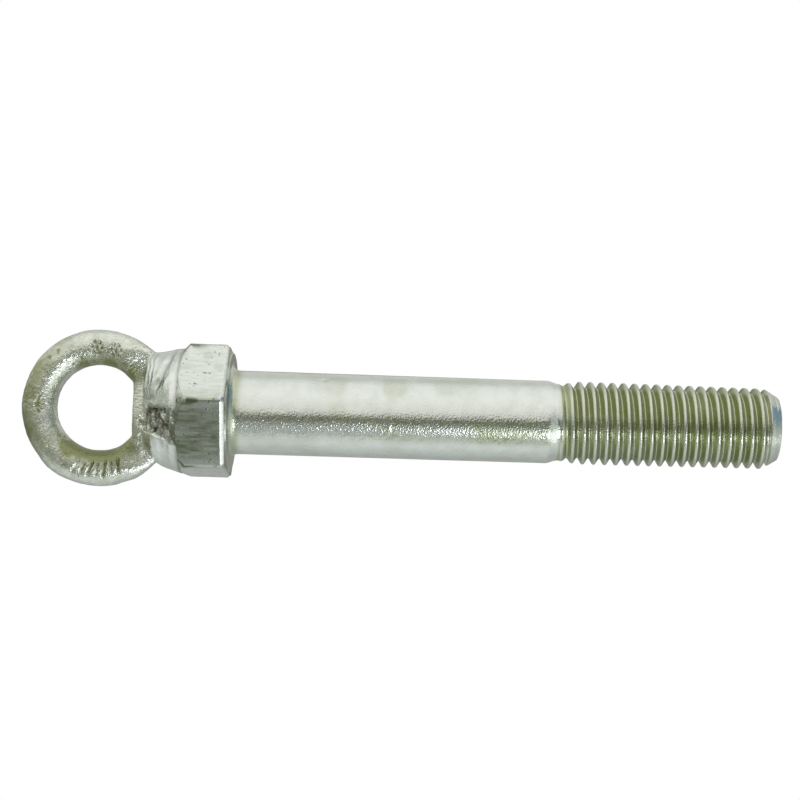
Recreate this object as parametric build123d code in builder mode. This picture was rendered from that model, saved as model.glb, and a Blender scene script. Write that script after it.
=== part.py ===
from build123d import *
import os

os.makedirs("parts", exist_ok=True)

# Welded eye bolt.  Millimetres, +Z runs up the bolt axis towards the eye.
# Origin: centre of the bearing face under the hexagon head.
# The eye stands in the XZ plane, so a hook passes through it along Y.

# ---- driving dimensions ------------------------------------------------------

# Bolt: 3/4 inch nominal, 10 threads to the inch
thread_pitch = 2.54
thread_crest_dia = 19.0
thread_root_dia = 15.95
thread_root_flat = 0.40
shank_dia = 18.75
neck_dia = 17.4
bolt_length = 123.9
shank_length = 71.1
shoulder_length = 2.4
runout_length = 2.2
point_length = 3.5
point_dia = 14.6
groove_overcut = 0.12
groove_stages = 5
groove_stage_turns = 4

# Hexagon head
head_flats = 27.8
head_corner_round = 1.5
head_height = 12.4
head_turn = 10.6
crown_dia = 24.0
crown_slope = 0.9
washer_dia = 26.4
washer_height = 0.4
rim_bevel = 0.7
underhead_fillet = 1.5

# Forged eye
eye_height = 29.3
eye_outer_dia = 35.0
eye_bar_dia = 8.0
foot_depth = 7.7
foot_flat_drop = 7.7
foot_edge_round = 0.9
foot_pad_width = 18.0
foot_pad_height = 5.0
ring_gap_angle = 30

# Weld between the foot of the eye and the head
weld_base_dia = 27.6
weld_base_drop = 1.7
weld_waist_height = 3.6
weld_waist_width = 25.4
weld_waist_depth = 20.0
weld_top_height = 6.9
weld_top_width = 17.0
weld_top_depth = 9.8
weld_joint_offset = -1.6

crown_foot_radius = crown_dia / 2 + head_height / crown_slope
eye_centreline_dia = eye_outer_dia - eye_bar_dia
foot_top = eye_height - foot_flat_drop
thread_start = -(shank_length + shoulder_length)
thread_full = thread_start - runout_length
groove_end = thread_full - thread_pitch / 2
point_slope = (thread_crest_dia - point_dia) / 2 / point_length
groove_stage_height = groove_stage_turns * thread_pitch
groove_start = groove_end - groove_stages * groove_stage_height

# ---- hexagon bolt: head, shank and thread in one piece -------------------------

with BuildPart() as hex_bolt:
    # Hexagon head, its corners a little rounded by forging
    with BuildSketch(Plane.XY.offset(washer_height)) as hexagon:
        RegularPolygon(
            radius=head_flats / 2,
            side_count=6,
            major_radius=False,
            rotation=head_turn,
        )
        fillet(hexagon.vertices(), radius=head_corner_round)
    extrude(amount=head_height - washer_height)
    # Bevel round the lower rim
    lower_rim = hex_bolt.faces().sort_by(Axis.Z)[0].edges()
    chamfer(lower_rim, length=rim_bevel)
    # Crown: the corners are turned down towards the top of the head
    with BuildSketch(Plane.XZ) as crown_outline:
        with BuildLine():
            Polyline(
                (0, 0),
                (crown_foot_radius, 0),
                (crown_dia / 2, head_height),
                (0, head_height),
                close=True,
            )
        make_face()
    revolve(axis=Axis.Z, mode=Mode.INTERSECT)
    # Washer face
    with BuildSketch(Plane.XY):
        Circle(washer_dia / 2)
    extrude(amount=washer_height)
    # Shank, shoulder and threaded length, turned as one outline
    with BuildSketch(Plane.XZ) as shank_outline:
        with BuildLine():
            Polyline(
                (0, washer_height),
                (shank_dia / 2, washer_height),
                (shank_dia / 2, -shank_length),
                (neck_dia / 2, thread_start),
                (thread_crest_dia / 2, thread_full),
                (thread_crest_dia / 2, -bolt_length),
                (0, -bolt_length),
                close=True,
            )
        make_face()
    revolve(axis=Axis.Z)
    # Fillet where the shank runs into the bearing face
    circles = hex_bolt.edges().filter_by(GeomType.CIRCLE)
    at_bearing_face = circles.filter_by_position(Axis.Z, -0.01, 0.01)
    fillet(at_bearing_face.sort_by(SortBy.RADIUS)[0], radius=underhead_fillet)
    # Right-hand thread: one helical groove, cut in stages from the point upwards
    groove_depth = (thread_crest_dia - thread_root_dia) / 2 + groove_overcut
    groove_half_top = thread_root_flat / 2 + groove_depth * 0.57735
    for stage in range(groove_stages):
        with BuildLine() as groove_path:
            Helix(
                pitch=thread_pitch,
                height=groove_stage_height,
                radius=thread_root_dia / 2,
                center=(0, 0, groove_start + stage * groove_stage_height),
            )
        groove_plane = Plane(
            origin=groove_path.line @ 0,
            x_dir=(1, 0, 0),
            z_dir=groove_path.line % 0,
        )
        with BuildSketch(groove_plane) as groove_section:
            with BuildLine():
                Polyline(
                    (0, thread_root_flat / 2),
                    (groove_depth, groove_half_top),
                    (groove_depth, -groove_half_top),
                    (0, -thread_root_flat / 2),
                    close=True,
                )
            make_face()
        sweep(path=groove_path.line, is_frenet=True, mode=Mode.SUBTRACT)

    # Point: the end is chamfered back through the first thread
    with BuildSketch(Plane.XZ) as point_outline:
        with BuildLine():
            Polyline(
                (point_dia / 2 - point_slope, -bolt_length - 1),
                (thread_crest_dia / 2 + point_slope, -bolt_length + point_length + 1),
                (thread_crest_dia, -bolt_length + point_length + 1),
                (thread_crest_dia, -bolt_length - 1),
                close=True,
            )
        make_face()
    revolve(axis=Axis.Z, mode=Mode.SUBTRACT)

hex_bolt.part.label = "hex_bolt"

# ---- forged eye: round-bar ring with a flat foot -------------------------------

with BuildPart() as eye_ring:
    # Foot: a web filling the bottom of the ring, and a pad standing on the head
    with BuildSketch(Plane.XZ) as foot_outline:
        with Locations((0, eye_height)):
            Circle(eye_centreline_dia / 2)
        with Locations((0, foot_top)):
            Rectangle(
                eye_outer_dia,
                eye_outer_dia,
                align=(Align.CENTER, Align.MIN),
                mode=Mode.SUBTRACT,
            )
        with Locations((0, head_height)):
            Rectangle(foot_pad_width, foot_pad_height, align=(Align.CENTER, Align.MIN))
    extrude(amount=foot_depth / 2, both=True)
    flat_edges = eye_ring.edges().filter_by(Axis.X).group_by(Axis.Z)[-1]
    fillet(flat_edges, radius=foot_edge_round)
    # Round bar bent into a ring, its two ends running into the foot
    with BuildSketch(Plane.XY.offset(eye_height).rotated((0, 90 - ring_gap_angle, 0))):
        with Locations((eye_centreline_dia / 2, 0)):
            Circle(eye_bar_dia / 2)
    revolve(
        axis=Axis((0, 0, eye_height), (0, -1, 0)),
        revolution_arc=360 - 2 * ring_gap_angle,
    )

eye_ring.part.label = "eye_ring"

# ---- weld: two runs, one round each end of the foot ----------------------------

with BuildPart() as weld_collar:
    # Full collar, wide on the head and drawn in towards the foot
    with BuildSketch(Plane.XY.offset(head_height - weld_base_drop)):
        Circle(weld_base_dia / 2)
    with BuildSketch(Plane.XY.offset(head_height + weld_waist_height)):
        Ellipse(weld_waist_width / 2, weld_waist_depth / 2)
    with BuildSketch(Plane.XY.offset(head_height + weld_top_height)):
        Ellipse(weld_top_width / 2, weld_top_depth / 2)
    loft()
    # It sits on the top of the head and a little way down the crown
    with BuildSketch(Plane.XZ) as head_top:
        with BuildLine():
            Polyline(
                (0, 0),
                (crown_foot_radius, 0),
                (crown_dia / 2, head_height),
                (0, head_height),
                close=True,
            )
        make_face()
    revolve(axis=Axis.Z, mode=Mode.SUBTRACT)
    # The eye stands in the weld
    add(eye_ring.part, mode=Mode.SUBTRACT)

with BuildPart() as weld_upper_run:
    # This run wraps the +X end of the foot
    add(weld_collar.part)
    split(bisect_by=Plane.YZ.offset(weld_joint_offset), keep=Keep.TOP)

weld_upper_run.part.label = "weld_upper_run"

with BuildPart() as weld_lower_run:
    # This run wraps the -X end of the foot
    add(weld_collar.part)
    split(bisect_by=Plane.YZ.offset(weld_joint_offset), keep=Keep.BOTTOM)

weld_lower_run.part.label = "weld_lower_run"

export_step(hex_bolt.part, "parts/hex_bolt.step")
export_step(eye_ring.part, "parts/eye_ring.step")
export_step(weld_upper_run.part, "parts/weld_upper_run.step")
export_step(weld_lower_run.part, "parts/weld_lower_run.step")
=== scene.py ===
import math

import bpy
import numpy as np
from mathutils import Matrix, Vector


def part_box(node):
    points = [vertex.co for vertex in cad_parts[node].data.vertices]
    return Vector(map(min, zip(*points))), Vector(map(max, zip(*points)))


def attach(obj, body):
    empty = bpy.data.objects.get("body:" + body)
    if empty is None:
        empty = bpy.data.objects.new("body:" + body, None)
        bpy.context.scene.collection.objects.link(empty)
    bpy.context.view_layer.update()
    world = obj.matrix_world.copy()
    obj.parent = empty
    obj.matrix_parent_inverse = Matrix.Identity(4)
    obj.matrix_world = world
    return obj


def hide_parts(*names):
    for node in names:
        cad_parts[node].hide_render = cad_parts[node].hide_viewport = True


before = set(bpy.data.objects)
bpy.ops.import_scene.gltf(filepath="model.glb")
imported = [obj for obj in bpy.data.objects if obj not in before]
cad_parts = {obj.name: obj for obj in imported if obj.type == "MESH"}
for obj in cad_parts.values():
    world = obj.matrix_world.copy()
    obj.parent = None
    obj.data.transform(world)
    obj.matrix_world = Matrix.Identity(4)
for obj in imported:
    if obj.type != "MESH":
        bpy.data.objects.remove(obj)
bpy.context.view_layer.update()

# Everything is worked out in millimetres in the row frame and scaled to metres
# when a mesh is made: +Z up the bolt axis to the eye, origin in the bearing face.

MM = 0.001
bolt_low, bolt_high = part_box("hex_bolt")

# ---- sizes (mm) ----------------------------------------------------------------

# bolt
PITCH = 2.54
CREST_R = 9.43
THREAD_DEPTH = 1.45
CREST_HALF = 0.29  # half the width of a crest's flat
FLANK_SLOPE = 1.72
CREST_ROUND = 0.20
ROOT_ROUND = 0.30
SHANK_R = 9.40
NECK_R = 8.75
SHOULDER_TOP = -70.8
SHOULDER_END = -73.4
FULL_THREAD = -78.8
TIP = round(bolt_low[2] / MM, 1)
POINT_LEN = 3.5
POINT_R = 7.3
SHANK_ROW = 0.36  # spacing of the mesh rows along the plain shank
ROWS_PER_TURN = 21

# dents in the shank: X, Z, radius, depth, and -1 for the front or 1 for the back
SHANK_DENTS = (
    (4.1, -68.8, 0.55, 0.16, -1),
    (2.9, -68.6, 0.45, 0.10, -1),
    (7.9, -20.6, 0.7, 0.14, -1),
    (3.6, -21.0, 0.8, 0.07, -1),
    (5.6, -45.3, 0.5, 0.09, -1),
    (-4.0, -35.5, 0.5, 0.10, -1),
    (-5.6, -33.6, 0.8, 0.08, -1),
    (-4.0, -16.0, 0.6, 0.10, 1),
    (3.0, -52.0, 0.8, 0.12, 1),
    (6.0, -33.0, 0.6, 0.10, 1),
)

# head
HEAD_AF = 27.8
HEAD_CORNER = 1.5
HEAD_H = round(bolt_high[2] / MM, 1)
HEAD_TURN = 10.6
CROWN_R = 12.0
CROWN_SLOPE = 0.9
WASHER_R = 13.2
WASHER_H = 0.32
WASHER_LIP = 0.05
RIM_BEVEL = 0.58
RIM_HEIGHT = 0.78
FILLET_R = 1.6
SHADED_FLAT = 240.0  # the flat in front, more streaked and darkened with painted shade, in degrees past the flat at HEAD_TURN
SHADED_FLAT_HALF = 27.0  # its half width in degrees

# eye
EYE_Z = 29.3
HOLE_R = 9.5
OUTER_R = 17.5
BAR_HALF = 3.97
FOOT_DROP = 7.5
FOOT_FRONT = -4.0

# pits where the foot meets the ring and the weld: X, Z, radius, depth
FOOT_PITS = (
    (8.6, 19.9, 0.55, 0.5),
    (-2.6, 20.2, 0.50, 0.4),
    (-3.4, 19.6, 0.45, 0.5),
    (-1.6, 19.5, 0.40, 0.35),
    (5.9, 21.3, 0.3, 0.15),
)

# slight flats left by the forging dies on the outside: angle, half width in degrees
DIE_FLATS = ((228.0, 13.0), (250.0, 9.0), (128.0, 14.0), (321.0, 13.0))

# slanting bars struck on the ring: nudge in degrees, strength
BARS = (
    (0.0, 0.50),
    (0.9, 0.34),
    (-0.8, 0.46),
    (0.6, 0.28),
    (-0.5, 0.50),
    (1.0, 0.36),
    (0.2, 0.24),
)
BAR_START = 247.0
BAR_SPACING = 6.6
MARK_DEPTH = 0.5  # the deepest that any mark goes

# weld: its reach towards +X, towards -X and towards either face, by height
WELD_BASE_Z = 10.65
WELD_TOP_Z = 19.5
WELD_SPLIT_X = -1.6
WELD_Z = (WELD_BASE_Z, 12.5, 13.8, 15.2, 16.6, 17.5, 18.5, WELD_TOP_Z)
WELD_PLUS = (14.0, 13.75, 13.4, 13.1, 12.85, 12.95, 13.2, 12.9)
WELD_MINUS = (14.1, 13.55, 13.1, 12.6, 11.7, 10.8, 9.9, 9.0)
WELD_DEPTH = (13.8, 12.7, 11.2, 9.4, 7.4, 6.0, 4.7, 3.6)
WELD_END_R = 13.9
WELD_END_OVERLAP = 0.04  # how far the runs' ends pass each other, in radians
WELD_CORE_R = 2.0
BACK_SHIFT = (0, 40.0, 0)  # gives the back of the weld other noise than the front
BACK_SALT = 20


# ---- noise ---------------------------------------------------------------------


def hash3(ix, iy, iz, seed):
    """A fixed scatter of values from 0 to 1, one for each whole-number cell."""
    n = (
        ix.astype(np.int64) * 374761393
        + iy.astype(np.int64) * 668265263
        + iz.astype(np.int64) * 2147483647
        + seed * 974634777
    ) & 0xFFFFFFFF
    n = ((n ^ (n >> 13)) * 1274126177) & 0xFFFFFFFF
    n = ((n ^ (n >> 16)) * 2246822519) & 0xFFFFFFFF
    return ((n ^ (n >> 15)) & 0xFFFFFF) / float(0xFFFFFF)


def noise(p, size, seed=0):
    """Smooth value noise between -1 and 1, with features about size mm across."""
    q = p / size
    i = np.floor(q)
    f = q - i
    f = f * f * f * (f * (f * 6 - 15) + 10)
    i = i.astype(np.int64)
    out = 0.0
    for dx in (0, 1):
        wx = f[..., 0] if dx else 1 - f[..., 0]
        for dy in (0, 1):
            wy = f[..., 1] if dy else 1 - f[..., 1]
            for dz in (0, 1):
                wz = f[..., 2] if dz else 1 - f[..., 2]
                corner = hash3(i[..., 0] + dx, i[..., 1] + dy, i[..., 2] + dz, seed)
                out = out + wx * wy * wz * corner
    return out * 2 - 1


def fractal(p, size, seed=0, octaves=3):
    """Noise with finer noise on it, each octave half the size and half the height."""
    total, gain, norm = 0.0, 1.0, 0.0
    for k in range(octaves):
        total = total + gain * noise(p + 31.7 * k, size / 2**k, seed + 17 * k)
        norm += gain
        gain *= 0.5
    return total / norm


def step(a, b, x):
    """0 at a and 1 at b, smooth between them; a may be the larger."""
    t = np.clip((x - a) / (b - a), 0, 1)
    return t * t * (3 - 2 * t)


def bump_at(x, centre, width):
    """A bell curve, 1 at centre."""
    return np.exp(-(((x - centre) / width) ** 2))


def smooth_min(a, b, k):
    """The smaller of a and b, blended where they are within k of each other."""
    h = np.clip(0.5 + 0.5 * (b - a) / k, 0, 1)
    return b * (1 - h) + a * h - k * h * (1 - h)


# ---- meshes --------------------------------------------------------------------


def grid_mesh(name, points, grime_and_shade, wrap_u=True, wrap_v=False, cap_end=False, flip=False):
    """A sheet of quads from points[v, u, 3] in mm, with a value, 0 to 1, of dirt and painted
    shade at each point.

    wrap joins an edge to the opposite one, and cap_end closes the last row with one face.
    """
    nv, nu = points.shape[:2]
    verts = points.reshape(-1, 3) * MM
    u = np.arange(nu if wrap_u else nu - 1)
    v = np.arange(nv if wrap_v else nv - 1)
    uu, vv = np.meshgrid(u, v)
    a = vv * nu + uu
    b = vv * nu + (uu + 1) % nu
    c = ((vv + 1) % nv) * nu + (uu + 1) % nu
    d = ((vv + 1) % nv) * nu + uu
    quads = np.stack([a, b, c, d], -1).reshape(-1, 4)
    if flip:
        quads = quads[:, ::-1]
    faces = quads.tolist()
    if cap_end:
        faces.append(list(range((nv - 1) * nu, nv * nu)))
    mesh = bpy.data.meshes.new(name)
    mesh.from_pydata(verts.tolist(), [], faces)
    mesh.update()
    layer = mesh.attributes.new("grime_and_shade", "FLOAT", "POINT")
    layer.data.foreach_set("value", np.clip(grime_and_shade, 0, 1).astype(np.float32).ravel())
    obj = bpy.data.objects.new(name, mesh)
    bpy.context.scene.collection.objects.link(obj)
    mesh.polygons.foreach_set("use_smooth", [True] * len(mesh.polygons))
    return obj


def normals_of(points, wrap_u=True, wrap_v=False):
    """Unit normals of a point sheet, out of cross products of its two directions."""
    if wrap_u:
        du = np.roll(points, -1, 1) - np.roll(points, 1, 1)
    else:
        du = np.gradient(points, axis=1)
    if wrap_v:
        dv = np.roll(points, -1, 0) - np.roll(points, 1, 0)
    else:
        dv = np.gradient(points, axis=0)
    n = np.cross(du, dv)
    length = np.linalg.norm(n, axis=-1, keepdims=True)
    return n / np.maximum(length, 1e-9)


def outward(n, out):
    """The normals n, turned round if they point against the rough directions out."""
    return -n if (n * out).sum() < 0 else n


def dent(points, centre, radius, depth, direction):
    """Pushes points near centre along direction by a soft round dent."""
    d = np.linalg.norm(points - np.array(centre), axis=-1)
    fall = np.exp(-((d / radius) ** 2))
    return points + (fall * depth)[..., None] * np.array(direction)


# ---- bolt body: washer face, shank, shoulder, thread, point ----------------------


def thread_drop(z, theta):
    """How far the threaded length lies under the crest, right hand."""
    turns = (z - TIP) / PITCH - theta / (2 * math.pi)
    u = turns - np.floor(turns)
    off = PITCH * np.minimum(u, 1 - u)
    flank = FLANK_SLOPE * (off - CREST_HALF)
    drop = 0.5 * (flank + np.sqrt(flank**2 + CREST_ROUND**2))
    return smooth_min(drop, THREAD_DEPTH, ROOT_ROUND)


def bolt_rows():
    """Rows of (Z, radius) down the bolt; the radius is 0 where threaded_radius gives it."""
    rows = []
    for r in np.linspace(WASHER_R, SHANK_R + FILLET_R, 6):
        rows.append((0.0, r))
    for a in np.linspace(0, math.pi / 2, 9)[1:]:
        rows.append((-FILLET_R * (1 - math.cos(a)), SHANK_R + FILLET_R * (1 - math.sin(a))))
    for z in np.arange(-FILLET_R - SHANK_ROW, SHOULDER_TOP, -SHANK_ROW):
        rows.append((z, SHANK_R))
    for z in np.arange(SHOULDER_TOP, TIP + 0.001, -PITCH / ROWS_PER_TURN):
        rows.append((z, 0))
    rows.append((TIP, 0))
    return rows


def threaded_radius(z, drop):
    """Radius of the shoulder, the thread and the point."""
    # blank under the thread: shank, rounded shoulder, neck
    blank = SHANK_R - (SHANK_R - NECK_R) * step(SHOULDER_TOP, SHOULDER_END, z)
    full = step(SHOULDER_END + 0.1, FULL_THREAD, z)
    crest_r = CREST_R + 0.03 - 0.20 * step(-84, TIP, z)
    crest = blank + full * (crest_r - blank)
    # the thread fades out towards the shoulder
    rise = 0.25 + 0.75 * step(SHOULDER_END - 0.2, FULL_THREAD + 1.2, z)
    started = step(SHOULDER_END + 0.1, SHOULDER_END - 0.6, z)
    point = POINT_R + (z - TIP) * (CREST_R - POINT_R) / POINT_LEN
    return np.minimum(crest - drop * rise * started, point)


def pepper_streak(pts, shank):
    """Relief and grime of the peppered streak along the front of the shank."""
    # 0 degrees faces -Y, positive is towards -X; the upper edge is darkest
    side = np.degrees(np.arctan2(-pts[..., 0], -pts[..., 1]))
    pepper = shank * step(-1, 4, side) * step(40, 27, side)
    pepper = pepper * (0.75 + 0.35 * noise(pts, 12.0, 18))
    dirt = pepper * (0.55 + 0.9 * bump_at(side, 6.0, 6.0))
    dirt = dirt * step(0.0, 0.6, noise(pts, 0.5, 20))
    dirt = dirt + 0.48 * pepper * step(-22, -52, pts[..., 2])
    return 0.007 * pepper * noise(pts, 0.45, 19), dirt


def bolt_body():
    """Washer face, under-head fillet, shank, shoulder, thread and point as one skin."""
    nu = 168
    theta = np.arange(nu) * 2 * math.pi / nu
    rows = bolt_rows()
    z = np.array([row[0] for row in rows])[:, None] * np.ones(nu)
    th = np.ones((len(rows), 1)) * theta
    base = np.array([row[1] for row in rows])[:, None] * np.ones(nu)
    drop = thread_drop(z, th)
    r = np.where(base > 0, base, threaded_radius(z, drop))
    x, y = r * np.cos(th), r * np.sin(th)
    pts = np.stack([x, y, z], -1)
    # flat end of the point, closed towards the axis
    end = []
    for k, below in ((0.985, 0.02), (0.9, 0.05), (0.6, 0.05), (0.3, 0.05)):
        x, y = POINT_R * k * np.cos(theta), POINT_R * k * np.sin(theta)
        end.append(np.stack([x, y, np.full(nu, TIP - below)], -1))
    pts = np.concatenate([pts, np.array(end)])
    n = normals_of(pts)
    zz = pts[..., 2]
    shank = step(-1.5, -3.5, zz) * step(SHOULDER_END - 1, SHOULDER_TOP + 1, zz)
    stretch = pts * np.array([1, 1, 0.3])
    lift = 0.014 * fractal(stretch, 3.2, 5) + 0.008 * noise(stretch, 1.2, 9)
    lift = lift * shank + 0.014 * (1 - shank) * noise(pts, 0.8, 12)
    pepper_relief, pepper_grime = pepper_streak(pts, shank)
    lift = lift + pepper_relief
    pts = pts - n * lift[..., None]
    for cx, cz, rad, depth, face in SHANK_DENTS:
        cy = face * math.sqrt(SHANK_R**2 - cx**2)
        pts = dent(pts, (cx, cy, cz), rad, depth, (-cx / SHANK_R, -cy / SHANK_R, 0))
    # a fine scratch across the front of the shank
    scratch = bump_at(zz, -35.4, 0.28)
    scratch = scratch * step(-0.5, -1.5, pts[..., 0]) * step(-6.5, -5.5, pts[..., 0])
    scratch = scratch * (pts[..., 1] < 0)
    pts = pts - n * (0.05 * scratch)[..., None]
    # painted shade darkens the thread's flanks and, less, its crests, and a painted highlight
    # lightens a thin line along each root; the shank is also darker in the corner under the
    # head
    in_thread = step(SHOULDER_END + 0.6, SHOULDER_END - 0.6, zz)
    root = np.zeros_like(zz)
    root[: len(rows)] = np.clip(drop / THREAD_DEPTH, 0, 1)
    on_point = step(TIP + POINT_LEN + 0.3, TIP + POINT_LEN - 0.8, zz)
    # painted shade on the thread's flanks, uneven at random
    uneven_shade = 0.22 * noise(pts, 5.0, 16)
    flank_shade = (0.64 + uneven_shade) * step(0.0, 0.16, root)
    # 0.32 is painted shade on the crests; the lighter line at the bottom of each root is a
    # painted highlight
    grime_and_shade = in_thread * (0.32 + flank_shade - 0.42 * step(0.90, 1.0, root))
    grime_and_shade = grime_and_shade * (1 - 0.65 * on_point) + bump_at(zz, -1.2, 1.1) * 0.7
    grime_and_shade = grime_and_shade + 0.28 * step(0.2, 0.8, noise(pts, 6.0, 15)) * shank + pepper_grime
    return grid_mesh("bolt_shank", pts, grime_and_shade, cap_end=True)


def hex_radius(theta):
    """Distance from the axis to the side of the rounded hexagon at angle theta."""
    a = np.radians(HEAD_TURN)
    t = (theta - a + math.pi / 6) % (math.pi / 3) - math.pi / 6
    apothem = HEAD_AF / 2
    flat = apothem / np.cos(t)
    # rounded corner: circle of radius HEAD_CORNER inside each corner
    dist = (apothem - HEAD_CORNER) / math.cos(math.pi / 6)
    s = math.pi / 6 - np.abs(t)
    arc = dist * np.cos(s) + np.sqrt(np.maximum(HEAD_CORNER**2 - (dist * np.sin(s)) ** 2, 0))
    touch = math.atan2((apothem - HEAD_CORNER) * math.tan(math.pi / 6), apothem)
    return np.where(np.abs(t) > touch, arc, flat)


def bolt_head():
    """The hexagon from its washer face, over the bevel, flats and crown, to the top."""
    nu = 540
    theta = np.arange(nu) * 2 * math.pi / nu
    big = hex_radius(theta)
    ones = np.ones(nu)
    crown_z = np.minimum(HEAD_H - (big - CROWN_R) * CROWN_SLOPE, HEAD_H)
    rows = [(WASHER_R * ones, 0.0 * ones)]
    cone = big - RIM_BEVEL - WASHER_R - WASHER_LIP
    for k in np.linspace(0, 1, 7):
        lift = WASHER_LIP + (WASHER_H - WASHER_LIP) * k * ones
        rows.append((WASHER_R + WASHER_LIP + cone * k, lift))
    for k in np.linspace(0, 1, 6)[1:]:
        rows.append((big - RIM_BEVEL * (1 - k), (WASHER_H + RIM_HEIGHT * k) * ones))
    low = WASHER_H + RIM_HEIGHT
    for k in np.linspace(0, 1, 52)[1:]:
        rows.append((big, low + (crown_z - low) * k))
    for k in np.linspace(0, 1, 14)[1:]:
        rows.append((big + (CROWN_R - big) * k, crown_z + (HEAD_H - crown_z) * k))
    for r in (11.0, 9.0, 5.0, 1.0):
        rows.append((r * ones, HEAD_H * ones))
    r = np.array([q[0] for q in rows])
    z = np.array([q[1] for q in rows])
    pts = np.stack([r * np.cos(theta), r * np.sin(theta), z], -1)
    n = normals_of(pts)
    side = step(low - 0.1, low + 0.4, z) * step(HEAD_H, HEAD_H - 0.5, z)
    streak = pts * np.array([1, 1, 0.22])
    t = np.degrees(theta) - HEAD_TURN
    from_shaded_flat = (t - SHADED_FLAT + 180) % 360 - 180
    # dull marks the front flat: deeper streaks in its relief and painted shade in its colour
    dull = step(0.25, 0.9, bump_at(from_shaded_flat, 0, SHADED_FLAT_HALF) ** 0.5)
    lift = (0.005 + 0.014 * dull) * fractal(streak, 1.5, 21)
    lift = lift + 0.012 * dull * noise(streak, 0.5, 22)
    lift = lift + 0.05 * noise(pts, 5.5, 23)
    # small pits scattered over the flats
    pit = step(0.74, 0.88, noise(pts, 0.5, 27))
    lift = lift - 0.03 * pit
    lift = lift * side + 0.02 * (1 - side) * noise(pts, 1.0, 25)
    pts = pts - n * lift[..., None]
    # the flat that faces -Y is duller and darker than its neighbours, with fine streaks; its
    # darkness is painted shade
    fine = fractal(streak, 0.5, 28, 2)
    grime_and_shade = side * (0.9 * pit + dull * (0.72 + 0.30 * fine + 0.12 * noise(pts, 3.5, 31)))
    grime_and_shade = grime_and_shade + 0.12 * step(0.35, 0.8, noise(pts, 2.5, 29)) * side
    # dark smudges along the corners, on their upper part
    corner = ((t - 30) % 60 + 30) % 60 - 30
    smudge = bump_at(corner * 0.27, -0.5, 0.7) * step(4.0, 7.5, z)
    smudge = smudge * step(-0.5, 0.3, noise(pts, 1.3, 30))
    grime_and_shade = grime_and_shade + 0.9 * smudge * side
    # painted shade: a dark band round the washer face and the foot of the bevel above it
    grime_and_shade = grime_and_shade + 0.6 * bump_at(z, WASHER_H, 0.3) * (r > WASHER_R - 0.1)
    return grid_mesh("bolt_head", pts, grime_and_shade, cap_end=True)


# ---- forged eye ------------------------------------------------------------------


def stroke(p, a, b, width):
    """How strongly points p (x, z) lie on the stroke a to b, 0 to 1."""
    a, b = np.array(a, float), np.array(b, float)
    ab = b - a
    t = np.clip(((p - a) @ ab) / (ab @ ab), 0, 1)
    d = np.linalg.norm(p - (a + t[..., None] * ab), axis=-1)
    return np.exp(-((d / width) ** 2))


def polar(angle, radius):
    """A point of the eye's face: angle in degrees, 0 up the bolt axis, 90 towards +X."""
    a = math.radians(angle)
    return (radius * math.sin(a), EYE_Z + radius * math.cos(a))


def forging_marks(p):
    """Depth of the generic punch marks on the front of the eye: rows of bars and dots."""
    marks = 0.0
    # +X side: a ring of dots round a bar, twice
    for centre in (88.0, 106.0):
        c = polar(centre, 13.4)
        for k in range(6):
            a = k * math.pi / 3 + 0.4
            q = (c[0] + 1.25 * math.cos(a), c[1] + 1.05 * math.sin(a))
            marks = marks + 0.42 * stroke(p, q, (q[0] + 0.18, q[1] + 0.1), 0.34)
        marks = marks + 0.40 * stroke(p, (c[0] - 0.5, c[1]), (c[0] + 0.5, c[1]), 0.26)
    # crown of the eye: a fan of short bars
    c = polar(2.0, 13.6)
    for k in range(5):
        a = math.radians(-60 + 30 * k)
        d = (math.sin(a), -math.cos(a))
        start = (c[0] + 0.5 * d[0], c[1] + 0.5 * d[1])
        end = (c[0] + 2.1 * d[0], c[1] + 1.9 * d[1])
        marks = marks + 0.38 * stroke(p, start, end, 0.30)
    # -X side: a row of slanting bars, unevenly struck
    for k, (nudge, strength) in enumerate(BARS):
        angle = BAR_START + BAR_SPACING * k + nudge
        a = polar(angle, 12.4 + 0.35 * nudge)
        b = polar(angle + 3.2 - 1.5 * nudge, 14.9 - 0.3 * nudge)
        marks = marks + strength * stroke(p, a, b, 0.30)
    return np.minimum(marks, MARK_DEPTH)


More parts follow.
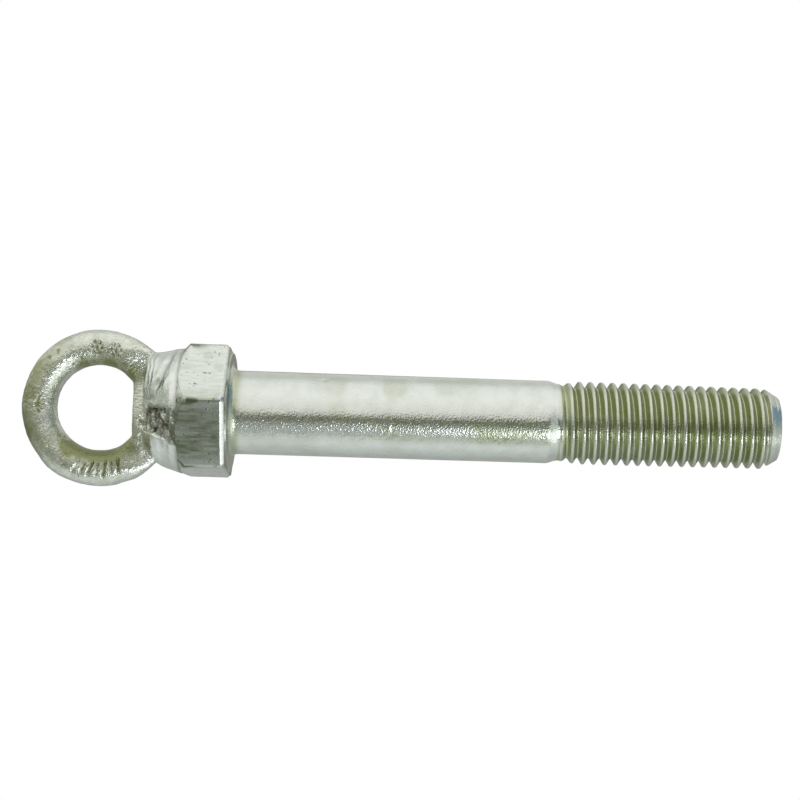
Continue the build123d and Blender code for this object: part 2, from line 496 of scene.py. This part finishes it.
def eye_ring():
    """The eye and its flat-topped foot as one skin: a bar whose section widens at the foot."""
    nu, nv = 800, 150
    around = np.arange(nu) * 2 * math.pi / nu
    about = np.arange(nv) * 2 * math.pi / nv
    ph, th = np.meshgrid(about, around, indexing="ij")
    from_foot = np.abs(math.pi - th)
    chord = FOOT_DROP / np.maximum(np.cos(np.minimum(from_foot, 1.35)), 0.2)
    inner = smooth_min(np.full_like(chord, HOLE_R), chord, 0.25)
    crown_gap = np.degrees(np.minimum(th, 2 * math.pi - th))
    outer = OUTER_R - 0.42 * step(62, 8, crown_gap)
    mid, half = (inner + outer) / 2, (outer - inner) / 2
    square = step(1.25, 0.55, from_foot)
    power = 2.0 + 5.0 * square
    c, s = np.cos(ph), np.sin(ph)
    reach = (np.abs(c) ** power + np.abs(s) ** power) ** (-1 / power)
    radial = half * c * reach
    across = (mid + radial) * np.sin(th) + 3.0
    up = 0.5 * (across + np.sqrt(across**2 + 1.0)) - 0.5
    down = 0.5 * (np.sqrt(across**2 + 1.0) - across) - 0.5
    crowned = 1 - square * np.clip(0.028 * up + 0.045 * down, 0, 0.35)
    depth = BAR_HALF * crowned * s * reach
    d = mid + radial
    pts = np.stack([d * np.sin(th), depth, EYE_Z + d * np.cos(th)], -1)
    n = normals_of(pts, wrap_v=True)
    out = np.stack([c * np.sin(th), s, c * np.cos(th)], -1)
    n = outward(n, out)
    lift = 0.10 * noise(pts, 8.0, 41) + 0.05 * noise(pts, 3.2, 42)
    grain = fractal(pts, 0.9, 43, 2)
    lift = lift + 0.050 * grain
    pit = step(0.45, 0.8, noise(pts, 0.85, 47)) * step(-0.2, 0.5, noise(pts, 5.0, 48))
    lift = lift - 0.10 * pit
    front = step(-0.2, -1.6, pts[..., 1])
    marks = front * forging_marks(pts[..., [0, 2]])
    lift = lift - marks
    outside = step(0.5, 0.95, c)
    for angle, width in DIE_FLATS:
        gap = np.degrees(np.abs((th - math.radians(angle) + math.pi) % (2 * math.pi) - math.pi))
        lift = lift - 0.20 * outside * step(width, 0, gap)
    pts = pts + n * lift[..., None]
    for cx, cz, rad, deep in FOOT_PITS:
        pts = dent(pts, (cx, FOOT_FRONT, cz), rad, deep, (0, 1, 0))
    # the eye is duller and more olive inside the hole than outside, away from the crown
    turn = np.degrees(th)
    arms = step(50, 85, turn) * step(336, 300, turn)
    inside = step(0.15, -0.75, c) * step(0.45, 0.9, from_foot) * arms
    blotch = step(-0.1, 0.6, noise(pts, 3.0, 49))
    lower = step(190, 235, turn) * step(335, 290, turn)
    grime_and_shade = 0.14 + inside * (0.62 + 0.38 * lower + 0.25 * blotch) + 0.22 * blotch + 0.5 * pit
    grime_and_shade = grime_and_shade + 1.5 * marks - 0.20 * grain - 0.25 * step(0.2, 0.7, c) * arms
    grime_and_shade = grime_and_shade + 0.62 * step(75, 20, crown_gap) * step(-0.3, 0.7, c)
    grime_and_shade = grime_and_shade * step(0.35, 0.65, from_foot) + 0.03
    # a dirty patch on the front of the foot, beside the pits
    smudge = bump_at(pts[..., 0], -2.6, 2.4) * step(0.75, 0.45, from_foot) * front
    grime_and_shade = grime_and_shade + smudge * np.clip(0.45 + 0.5 * noise(pts, 1.3, 50), 0, 1)
    return grid_mesh("eye_forging", pts, grime_and_shade, wrap_v=True, flip=True)


# ---- weld ------------------------------------------------------------------------


def weld_relief(p, salt):
    """How far the weld's skin stands proud of the smooth collar in mm, and its dirt and painted
    shade.
    """
    x, z = p[..., 0], p[..., 2]
    # bundle of ripples along the toe, drawn together towards the middle of the foot
    spread = 0.11 * np.maximum(x + 5.0, 0.5)
    s = (z - 17.9 + 0.10 * noise(p, 2.5, 70 + salt)) / spread
    bundle = step(1.2, 0.7, np.abs(s)) * step(1.0, 2.6, x)
    ripple = np.sin(2 * math.pi * (1.7 * s + 0.35 * noise(p, 2.2, 80 + salt)))
    lift = 0.032 * bundle * ripple
    # groove between the toe bead and the bead that lies on the head
    line = 16.1 - 0.40 * (x - 4.2) + 0.15 * noise(p, 2.0, 71 + salt)
    across = (z - line) * 0.93
    along = step(3.4, 6.0, x) * step(14.5, 12.0, x)
    lift = lift - 0.42 * along * bump_at(across, -0.1, 0.75)
    lift = lift + 0.22 * along * bump_at(across, -1.6, 0.9)
    lift = lift + 0.10 * along * bump_at(across, 1.2, 0.6)
    groove = along * bump_at(across, -0.1, 0.45)
    # rough sunk band where the two runs meet
    upper = step(1.3, 0.1, x + 0.5 * noise(p, 1.6, 72 + salt))
    lower_line = -3.9 - 0.50 * (18.4 - z)
    lower = step(lower_line - 0.6, lower_line + 0.5, x + 0.3 * noise(p, 1.4, 73 + salt))
    band = upper * lower
    rough = fractal(p, 1.3, 74 + salt, 3)
    holes = step(0.15, 0.55, noise(p, 1.1, 75 + salt))
    lift = lift + band * (-0.42 + 0.60 * rough - 0.45 * holes)
    # lower run: smooth, with a soft lip under the rough band
    low = 1 - lower
    lift = lift + (1 - upper) * 0.03 * fractal(p, 0.9, 76 + salt, 3)
    lift = lift + low * 0.85 * step(14.4, 18.4, z) * step(WELD_TOP_Z, 18.8, z)
    # upper run: a lip along the foot
    lip = (1 - low) * 0.8 * step(2.0, 5.0, x) * step(15.5, 18.5, z)
    lift = lift + lip * step(WELD_TOP_Z, 18.9, z)
    lift = lift + low * (0.08 * noise(p, 3.5, 77 + salt) + 0.02 * noise(p, 0.8, 78 + salt))
    # colour: the sunk band is darkened, partly as dark rough weld and partly as painted shade,
    # most in its holes and least on its raised grain; painted shade also lies in the groove
    # between the beads and in the troughs of the ripples
    grime_and_shade = band * (0.60 + 0.40 * holes - 0.8 * rough) + 0.45 * groove
    grime_and_shade = grime_and_shade + 0.35 * bundle * step(-0.2, -0.9, ripple)
    return lift, grime_and_shade


def weld_run(name, lower):
    """One C-shaped run as a closed shell, from its end in front round to its end behind."""
    half = math.acos(WELD_SPLIT_X / WELD_END_R)
    if lower:
        start, end = half, 2 * math.pi - half
    else:
        start, end = -half, half
    # angle 0 towards +X, positive towards +Y; the front of the eye is at -90 degrees
    nu, nv = 340, 100
    theta = np.linspace(start - WELD_END_OVERLAP, end + WELD_END_OVERLAP, nu)
    z = np.linspace(WELD_BASE_Z, WELD_TOP_Z, nv)[:, None] * np.ones(nu)
    c, s = np.cos(theta), np.sin(theta)
    plus, minus = np.interp(z, WELD_Z, WELD_PLUS), np.interp(z, WELD_Z, WELD_MINUS)
    w = np.where(c > 0, plus, minus)
    d = np.interp(z, WELD_Z, WELD_DEPTH)
    power = 2.0 + 0.5 * step(13.0, 17.0, z)
    r = 1.0 / ((np.abs(c) / w) ** power + (np.abs(s) / d) ** power) ** (1 / power)
    pts = np.stack([r * c, r * s, z], -1)
    n = normals_of(pts, wrap_u=False)
    out = np.stack([c * np.ones_like(z), s * np.ones_like(z), np.zeros_like(z)], -1)
    n = outward(n, out)
    front, front_grime_and_shade = weld_relief(pts, 0)
    back, back_grime_and_shade = weld_relief(pts + np.array(BACK_SHIFT), BACK_SALT)
    facing = step(-0.6, 0.6, pts[..., 1])
    lift = front * (1 - facing) + back * facing
    grime_and_shade = front_grime_and_shade * (1 - facing) + back_grime_and_shade * facing
    ends = step(1.8, 5.0, np.abs(pts[..., 1]))
    lift = lift * ends + (1 - ends) * 0.05 * noise(pts, 1.4, 79)
    lift = lift * step(WELD_BASE_Z - 0.1, WELD_BASE_Z + 0.9, z)
    pts = pts + n * lift[..., None]
    grime_and_shade = grime_and_shade + 0.5 * step(1.0, 0.0, z - WELD_BASE_Z)
    # inner wall and floor close the shell inside the foot and the head
    cx, cy = WELD_CORE_R * c, WELD_CORE_R * s
    inner = np.stack([cx, cy, np.full(nu, WELD_TOP_Z - 1.5)], -1)[None]
    bottom = np.stack([cx, cy, np.full(nu, WELD_BASE_Z)], -1)[None]
    shell = np.concatenate([bottom, pts, inner])
    grime_and_shade = np.concatenate([grime_and_shade[:1], grime_and_shade, grime_and_shade[-1:]])
    return grid_mesh(name, shell, grime_and_shade, wrap_u=False, wrap_v=True)


# ---- materials -------------------------------------------------------------------


# a Mix node's inputs and its output when it mixes colours
FACTOR, FIRST, SECOND, MIXED = 0, 6, 7, 2
GRIME_ROUGHNESS = 0.14  # added to the roughness at full grime


def plated(name, bright, dull, grime_and_shade, roughness, tone_size, grain_size, slope, stretch=None):
    """Zinc plate: bright metal, duller and darker where the grime attribute says so; it holds
    dirt in places and painted shade in others.

    Sizes are in mm; slope is the height of the fine grain in micrometres; stretch
    below 1 draws the tone and grain out along that axis.
    """
    mat = bpy.data.materials.new(name)
    mat.use_nodes = True
    nodes, links = mat.node_tree.nodes, mat.node_tree.links
    bsdf = nodes["Principled BSDF"]
    bsdf.inputs["Metallic"].default_value = 1.0
    coord = nodes.new("ShaderNodeTexCoord")
    source = coord.outputs["Object"]
    if stretch:
        mapping = nodes.new("ShaderNodeMapping")
        mapping.inputs["Scale"].default_value = stretch
        links.new(source, mapping.inputs["Vector"])
        source = mapping.outputs["Vector"]

    def noise_node(size, detail, rough=0.6):
        """Noise on the surface with features about size mm across."""
        node = nodes.new("ShaderNodeTexNoise")
        node.inputs["Scale"].default_value = 1.0 / (size * MM)
        node.inputs["Detail"].default_value = detail
        node.inputs["Roughness"].default_value = rough
        links.new(source, node.inputs["Vector"])
        return node

    tone = noise_node(tone_size, 4)
    ramp = nodes.new("ShaderNodeValToRGB")
    ramp.color_ramp.elements[0].position = 0.36
    ramp.color_ramp.elements[1].position = 0.60
    ramp.color_ramp.elements[0].color = (*dull, 1)
    ramp.color_ramp.elements[1].color = (*bright, 1)
    links.new(tone.outputs["Fac"], ramp.inputs["Fac"])
    # the grime attribute darkens the colour: dirt in places, painted shade in the thread
    # grooves, on the head's front flat and washer face, and in the weld's hollows
    dirt = nodes.new("ShaderNodeAttribute")
    dirt.attribute_name = "grime_and_shade"
    dirt_and_shade_mix = nodes.new("ShaderNodeMix")
    dirt_and_shade_mix.data_type = "RGBA"
    dirt_and_shade_mix.inputs[SECOND].default_value = (*grime_and_shade, 1)
    links.new(dirt.outputs["Fac"], dirt_and_shade_mix.inputs[FACTOR])
    links.new(ramp.outputs["Color"], dirt_and_shade_mix.inputs[FIRST])
    links.new(dirt_and_shade_mix.outputs[MIXED], bsdf.inputs["Base Color"])
    rough = nodes.new("ShaderNodeMapRange")
    rough.inputs["From Min"].default_value = 0.3
    rough.inputs["From Max"].default_value = 0.7
    rough.inputs["To Min"].default_value = roughness + 0.06
    rough.inputs["To Max"].default_value = roughness - 0.03
    links.new(tone.outputs["Fac"], rough.inputs["Value"])
    rougher = nodes.new("ShaderNodeMath")
    rougher.operation = "MULTIPLY_ADD"
    rougher.inputs[1].default_value = GRIME_ROUGHNESS
    links.new(dirt.outputs["Fac"], rougher.inputs[0])
    links.new(rough.outputs["Result"], rougher.inputs[2])
    links.new(rougher.outputs[0], bsdf.inputs["Roughness"])
    grain = noise_node(grain_size, 2, 0.5)
    bump = nodes.new("ShaderNodeBump")
    bump.inputs["Strength"].default_value = 1.0
    bump.inputs["Distance"].default_value = slope * 1e-6
    links.new(grain.outputs["Fac"], bump.inputs["Height"])
    links.new(bump.outputs["Normal"], bsdf.inputs["Normal"])
    return mat


bolt_mat = plated(
    "zinc_bolt",
    bright=(0.80, 0.82, 0.78),
    dull=(0.74, 0.76, 0.71),
    grime_and_shade=(0.40, 0.425, 0.245),
    roughness=0.14,
    tone_size=3.0,
    grain_size=0.42,
    slope=62,
)
head_mat = plated(
    "zinc_head",
    bright=(0.80, 0.82, 0.77),
    dull=(0.70, 0.72, 0.66),
    grime_and_shade=(0.15, 0.168, 0.095),
    roughness=0.16,
    tone_size=0.5,
    grain_size=0.42,
    slope=22,
    stretch=(1, 1, 0.16),
)
eye_mat = plated(
    "zinc_forging",
    bright=(0.82, 0.83, 0.77),
    dull=(0.70, 0.72, 0.62),
    grime_and_shade=(0.28, 0.295, 0.155),
    roughness=0.20,
    tone_size=1.2,
    grain_size=0.45,
    slope=150,
)
weld_mat = plated(
    "zinc_weld",
    bright=(0.84, 0.86, 0.83),
    dull=(0.74, 0.76, 0.70),
    grime_and_shade=(0.12, 0.115, 0.075),
    roughness=0.18,
    tone_size=1.6,
    grain_size=0.40,
    slope=45,
)


def place(obj, material, node_name):
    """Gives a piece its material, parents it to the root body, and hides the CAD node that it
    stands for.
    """
    obj.data.materials.append(material)
    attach(obj, "root")
    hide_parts(node_name)


place(bolt_body(), bolt_mat, "hex_bolt")
place(bolt_head(), head_mat, "hex_bolt")
place(eye_ring(), eye_mat, "eye_ring")
place(weld_run("weld_upper", False), weld_mat, "weld_upper_run")
place(weld_run("weld_lower", True), weld_mat, "weld_lower_run")

# ---- floor, light and world ------------------------------------------------------

# The floor is in metres, and small enough to stay out of the photograph's view.
FLOOR_R = 0.145
FLOOR_Z = -0.165
FLOOR_SIDES = 96

floor_mesh = bpy.data.meshes.new("floor")
floor_rim = []
for k in range(FLOOR_SIDES):
    angle = 2 * math.pi * k / FLOOR_SIDES
    floor_rim.append((FLOOR_R * math.cos(angle), FLOOR_R * math.sin(angle), 0))
floor_mesh.from_pydata(floor_rim, [], [tuple(range(FLOOR_SIDES))])
floor = bpy.data.objects.new("floor", floor_mesh)
floor.location = (0, 0, FLOOR_Z)
bpy.context.scene.collection.objects.link(floor)
floor_mat = bpy.data.materials.new("pale_floor")
floor_mat.use_nodes = True
floor_bsdf = floor_mat.node_tree.nodes["Principled BSDF"]
floor_bsdf.inputs["Base Color"].default_value = (0.93, 0.93, 0.92, 1)
floor_bsdf.inputs["Roughness"].default_value = 0.8
floor_mesh.materials.append(floor_mat)
floor.visible_glossy = False

# The studio, by angle round the bolt axis: 0 is -Y, 90 is +X, -90 is -X.
STUDIO = (
    (-180, (0.30, 0.31, 0.27)),
    (-168, (0.40, 0.42, 0.40)),
    (-140, (0.42, 0.45, 0.44)),
    (-110, (0.55, 0.59, 0.58)),
    (-85, (0.72, 0.76, 0.76)),
    (-62, (0.66, 0.70, 0.68)),
    (-48, (0.46, 0.49, 0.48)),
    (-42, (0.32, 0.34, 0.33)),
    (-37, (0.50, 0.53, 0.53)),
    (-32, (0.14, 0.15, 0.13)),
    (-27, (0.46, 0.49, 0.49)),
    (-22, (0.12, 0.13, 0.10)),
    (-18, (0.30, 0.32, 0.28)),
    (-14, (0.06, 0.065, 0.04)),
    (-4, (0.06, 0.065, 0.035)),
    (3, (0.62, 0.64, 0.58)),
    (14, (0.84, 0.85, 0.81)),
    (60, (0.98, 0.99, 0.96)),
    (95, (0.92, 0.94, 0.92)),
    (125, (0.62, 0.65, 0.62)),
    (160, (0.66, 0.68, 0.64)),
    (176, (0.10, 0.11, 0.07)),
    (180, (0.12, 0.13, 0.09)),
)

# Colours by height, -1 straight past the tip and 1 straight past the eye.
# The least that the studio shines: this closes the dark gap towards both ends.
CLOSED_GAP = (
    (-1, (0.52, 0.57, 0.58)),
    (-0.6, (0.46, 0.50, 0.52)),
    (-0.38, (0.0, 0.0, 0.0)),
    (0.08, (0.0, 0.0, 0.0)),
    (0.20, (0.36, 0.38, 0.33)),
    (1, (0.40, 0.42, 0.36)),
)
# What the studio is multiplied by past the eye.
EYE_END = (
    (-1, (1, 1, 1)),
    (0.08, (1, 1, 1)),
    (0.40, (0.72, 0.74, 0.66)),
    (0.80, (0.62, 0.64, 0.58)),
    (1, (0.72, 0.74, 0.70)),
)
# What it is multiplied by past the tip, on the +X side.
TIP_END = (
    (-1, (0.30, 0.40, 0.52)),
    (-0.82, (0.24, 0.34, 0.48)),
    (-0.68, (1, 1, 1)),
    (1, (1, 1, 1)),
)
# Bright panels, soft round patches of sky: direction, half angle, radiance.
PANELS = (
    ((-0.52, -0.42, -0.74), 18, (0.60, 0.64, 0.68)),
    ((-0.45, -0.76, -0.46), 18, (0.45, 0.46, 0.47)),
    ((-0.55, -0.79, -0.255), 7, (6.4, 6.9, 7.9)),
    ((0.31, 0.51, 0.81), 20, (0.40, 0.41, 0.41)),
)


def build_world():
    """A pale studio with a narrow dark gap in front; the camera itself sees plain white."""
    world = bpy.data.worlds.new("studio")
    bpy.context.scene.world = world
    world.use_nodes = True
    nodes, links = world.node_tree.nodes, world.node_tree.links
    nodes.clear()
    out = nodes.new("ShaderNodeOutputWorld")
    mix = nodes.new("ShaderNodeMixShader")
    path = nodes.new("ShaderNodeLightPath")
    seen = nodes.new("ShaderNodeBackground")
    seen.inputs["Color"].default_value = (1, 1, 1, 1)
    lit = nodes.new("ShaderNodeBackground")
    coord = nodes.new("ShaderNodeTexCoord")
    split = nodes.new("ShaderNodeSeparateXYZ")
    links.new(coord.outputs["Generated"], split.inputs["Vector"])

    def math_node(kind, *inputs):
        """A Math node's output; each input is a number or another node's output."""
        node = nodes.new("ShaderNodeMath")
        node.operation = kind
        for socket, value in zip(node.inputs, inputs):
            if isinstance(value, float):
                socket.default_value = value
            else:
                links.new(value, socket)
        return node.outputs[0]

    # both run from 0 to 1: turn from -180 to 180 degrees, height from -Z to +Z
    away = math_node("MULTIPLY", split.outputs["Y"], -1.0)
    angle = math_node("ARCTAN2", split.outputs["X"], away)
    turn = math_node("MULTIPLY_ADD", angle, 0.5 / math.pi, 0.5)
    height = math_node("MULTIPLY_ADD", split.outputs["Z"], 0.5, 0.5)

    def ramp_of(source, stops, reach):
        """Colours from a table of stops that runs from -reach to reach."""
        node = nodes.new("ShaderNodeValToRGB")
        node.color_ramp.interpolation = "EASE"
        links.new(source, node.inputs["Fac"])
        ends = node.color_ramp.elements
        ends[0].position, ends[0].color = 0.0, (*stops[0][1], 1)
        ends[1].position, ends[1].color = 1.0, (*stops[-1][1], 1)
        for at, colour in stops[1:-1]:
            ends.new(at / (2 * reach) + 0.5).color = (*colour, 1)
        return node.outputs["Color"]

    def mixed(kind, first, second, factor=None):
        """Two colours mixed, each a tuple or another node's output."""
        node = nodes.new("ShaderNodeMix")
        node.data_type = "RGBA"
        node.blend_type = kind
        node.inputs[FACTOR].default_value = 1.0
        if factor is not None:
            links.new(factor, node.inputs[FACTOR])
        for k, value in ((FIRST, first), (SECOND, second)):
            if isinstance(value, tuple):
                node.inputs[k].default_value = (*value, 1)
            else:
                links.new(value, node.inputs[k])
        return node.outputs[MIXED]

    def ranged(value, low, high, start, end):
        """A smooth change from start, where value is low, to end, where it is high."""
        node = nodes.new("ShaderNodeMapRange")
        node.interpolation_type = "SMOOTHSTEP"
        for k, v in enumerate((low, high, start, end)):
            node.inputs[k + 1].default_value = v
        links.new(value, node.inputs["Value"])
        return node.outputs["Result"]

    # the bands of the studio lean a little along the bolt
    lean_turn = ranged(split.outputs["Z"], -0.25, 0.10, -0.033, 0.011)
    studio = ramp_of(math_node("ADD", turn, lean_turn), STUDIO, 180)
    total = mixed("LIGHTEN", studio, ramp_of(height, CLOSED_GAP, 1))
    lean = math_node("ABSOLUTE", math_node("ADD", split.outputs["X"], 0.05))
    near_axis = ranged(lean, 0.12, 0.42, 1.0, 0.12)
    total = mixed("MULTIPLY", total, ramp_of(height, EYE_END, 1), near_axis)
    plus_side = ranged(split.outputs["X"], -0.05, 0.25, 0.0, 1.0)
    total = mixed("MULTIPLY", total, ramp_of(height, TIP_END, 1), plus_side)
    for aim, spread, glow in PANELS:
        near = nodes.new("ShaderNodeVectorMath")
        near.operation = "DOT_PRODUCT"
        links.new(coord.outputs["Generated"], near.inputs[0])
        near.inputs[1].default_value = Vector(aim).normalized()
        rim, core = (math.cos(math.radians(spread * k)) for k in (1.25, 0.75))
        patch = ranged(near.outputs["Value"], rim, core, 0.0, 1.0)
        total = mixed("ADD", total, glow, patch)
    links.new(total, lit.inputs["Color"])
    links.new(path.outputs["Is Camera Ray"], mix.inputs["Fac"])
    links.new(lit.outputs[0], mix.inputs[1])
    links.new(seen.outputs[0], mix.inputs[2])
    links.new(mix.outputs[0], out.inputs["Surface"])


build_world()


# ---- camera ----------------------------------------------------------------------

SENSOR = 36.0
LENS = 79.155
SHIFT_X = -0.175
EYEPOINT = (0.00497, -0.400, -0.0406)  # metres
TURN = math.radians(4.11)  # towards the tip
ROLL = math.radians(1.85)

cam_data = bpy.data.cameras.new("camera")
cam_data.sensor_width = SENSOR
cam_data.lens = LENS
cam_data.shift_x = SHIFT_X
cam = bpy.data.objects.new("camera", cam_data)
# the bolt lies across the picture: right is towards the tip, and up is +X
forward = Vector((0, math.cos(TURN), -math.sin(TURN)))
right = Vector((0, -math.sin(TURN), -math.cos(TURN)))
up = Vector((1, 0, 0))
right, up = (
    right * math.cos(ROLL) + up * math.sin(ROLL),
    up * math.cos(ROLL) - right * math.sin(ROLL),
)
cam.matrix_world = Matrix(
    (
        (right.x, up.x, -forward.x, EYEPOINT[0]),
        (right.y, up.y, -forward.y, EYEPOINT[1]),
        (right.z, up.z, -forward.z, EYEPOINT[2]),
        (0, 0, 0, 1),
    )
)
bpy.context.scene.collection.objects.link(cam)
bpy.context.scene.camera = cam
bpy.context.scene.view_settings.view_transform = "Standard"
cam_data.clip_start, cam_data.clip_end = 0.01, 10
cam_data.dof.use_dof = False
